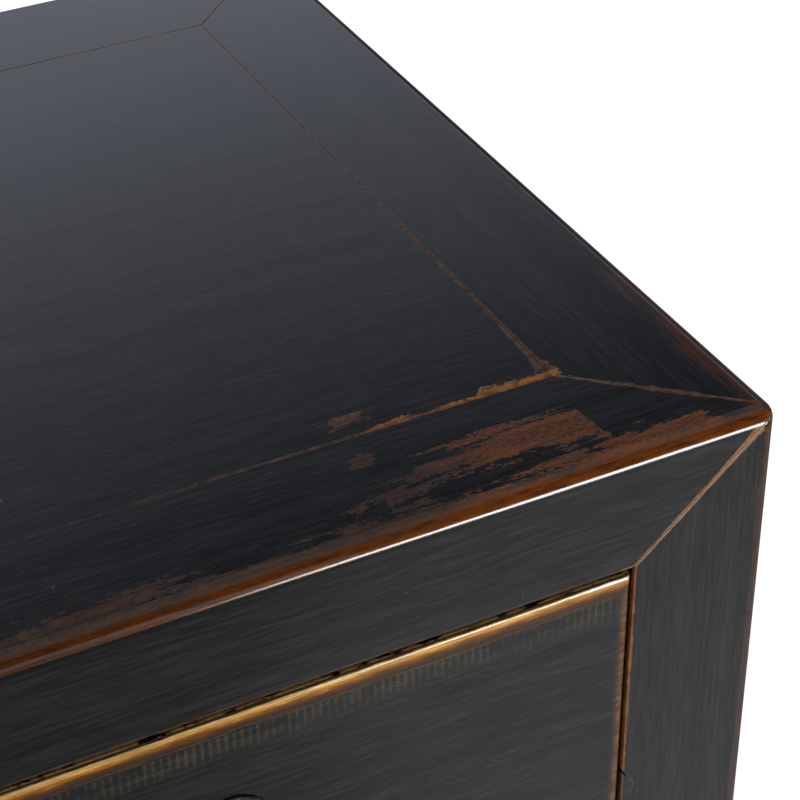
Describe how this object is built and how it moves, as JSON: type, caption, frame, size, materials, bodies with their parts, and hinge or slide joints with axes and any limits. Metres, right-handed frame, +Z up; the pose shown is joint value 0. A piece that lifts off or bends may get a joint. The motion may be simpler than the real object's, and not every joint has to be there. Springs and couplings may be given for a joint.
{
  "type": "sideboard",
  "caption": "Free-standing black lacquered sideboard with a mitred flush frame, a row of drawers with ring pulls and a pair of hinged doors.",
  "frame": {"origin": "on the floor, below the middle of the whole box with its pulls", "axes": "+Z up, +X to the right seen from the front, front faces -Y"},
  "size_m": [0.98, 0.4106, 0.8],
  "materials": {
    "black_lacquer": "satin black lacquer, worn brown along the edges",
    "bare_wood": "plain planed wood, stained brown",
    "grey_metal": "dull grey white brass, darkened at the edges"
  },
  "bodies": {
    "root": {"top_front_rail": "black_lacquer", "top_back_rail": "black_lacquer", "top_left_rail": "black_lacquer", "top_right_rail": "black_lacquer", "top_panel": "black_lacquer", "front_left_post": "black_lacquer", "front_right_post": "black_lacquer", "back_left_post": "black_lacquer", "back_right_post": "black_lacquer", "front_drawer_rail": "black_lacquer", "front_bottom_rail": "black_lacquer", "back_bottom_rail": "black_lacquer", "left_bottom_rail": "black_lacquer", "right_bottom_rail": "black_lacquer", "left_side_panel": "black_lacquer", "right_side_panel": "black_lacquer", "top_battens": "bare_wood", "back_drawer_rail": "bare_wood", "back_panel": "bare_wood", "bottom_board": "bare_wood", "left_divider": "bare_wood", "right_divider": "bare_wood", "left_runner": "bare_wood", "right_runner": "bare_wood", "middle_runners": "bare_wood", "shelf": "bare_wood", "shelf_bearers": "bare_wood", "hinge_post_leaves": "grey_metal", "hinge_pins": "grey_metal"},
    "left_drawer": {"left_drawer_front": "black_lacquer", "left_drawer_left_side": "bare_wood", "left_drawer_right_side": "bare_wood", "left_drawer_back": "bare_wood", "left_drawer_bottom": "bare_wood", "left_drawer_pull_plate": "grey_metal"},
    "left_drawer_ring": {"left_drawer_pull_ring": "grey_metal"},
    "middle_drawer": {"middle_drawer_front": "black_lacquer", "middle_drawer_left_side": "bare_wood", "middle_drawer_right_side": "bare_wood", "middle_drawer_back": "bare_wood", "middle_drawer_bottom": "bare_wood", "middle_drawer_pull_plate": "grey_metal"},
    "middle_drawer_ring": {"middle_drawer_pull_ring": "grey_metal"},
    "right_drawer": {"right_drawer_front": "black_lacquer", "right_drawer_left_side": "bare_wood", "right_drawer_right_side": "bare_wood", "right_drawer_back": "bare_wood", "right_drawer_bottom": "bare_wood", "right_drawer_pull_plate": "grey_metal"},
    "right_drawer_ring": {"right_drawer_pull_ring": "grey_metal"},
    "left_door": {"left_door_frame": "black_lacquer", "left_door_panel": "black_lacquer", "left_door_hinge_leaves": "grey_metal", "left_door_pull_plate": "grey_metal"},
    "left_door_ring": {"left_door_pull_ring": "grey_metal"},
    "right_door": {"right_door_frame": "black_lacquer", "right_door_panel": "black_lacquer", "right_door_hinge_leaves": "grey_metal", "right_door_pull_plate": "grey_metal"},
    "right_door_ring": {"right_door_pull_ring": "grey_metal"}
  },
  "joints": [
    {"name": "left_drawer_slide", "type": "slide", "parent": "root", "child": "left_drawer", "axis": [0, -1, 0], "range_m": [0, 0.27]},
    {"name": "left_drawer_ring_swing", "type": "hinge", "parent": "left_drawer", "child": "left_drawer_ring", "pos_m": [-0.29093, -0.20115, 0.702], "axis": [-1, 0, 0], "range_deg": [-8, 160]},
    {"name": "middle_drawer_slide", "type": "slide", "parent": "root", "child": "middle_drawer", "axis": [0, -1, 0], "range_m": [0, 0.27]},
    {"name": "middle_drawer_ring_swing", "type": "hinge", "parent": "middle_drawer", "child": "middle_drawer_ring", "pos_m": [0, -0.20115, 0.702], "axis": [-1, 0, 0], "range_deg": [-8, 160]},
    {"name": "right_drawer_slide", "type": "slide", "parent": "root", "child": "right_drawer", "axis": [0, -1, 0], "range_m": [0, 0.27]},
    {"name": "right_drawer_ring_swing", "type": "hinge", "parent": "right_drawer", "child": "right_drawer_ring", "pos_m": [0.29093, -0.20115, 0.702], "axis": [-1, 0, 0], "range_deg": [-8, 160]},
    {"name": "left_door_hinge", "type": "hinge", "parent": "root", "child": "left_door", "pos_m": [-0.4355, -0.19765, 0.39725], "axis": [0, 0, -1], "range_deg": [0, 170]},
    {"name": "left_door_ring_swing", "type": "hinge", "parent": "left_door", "child": "left_door_ring", "pos_m": [-0.029, -0.20115, 0.39725], "axis": [-1, 0, 0], "range_deg": [-8, 160]},
    {"name": "right_door_hinge", "type": "hinge", "parent": "root", "child": "right_door", "pos_m": [0.4355, -0.19765, 0.39725], "axis": [0, 0, 1], "range_deg": [0, 170]},
    {"name": "right_door_ring_swing", "type": "hinge", "parent": "right_door", "child": "right_door_ring", "pos_m": [0.029, -0.20115, 0.39725], "axis": [-1, 0, 0], "range_deg": [-8, 160]}
  ]
}
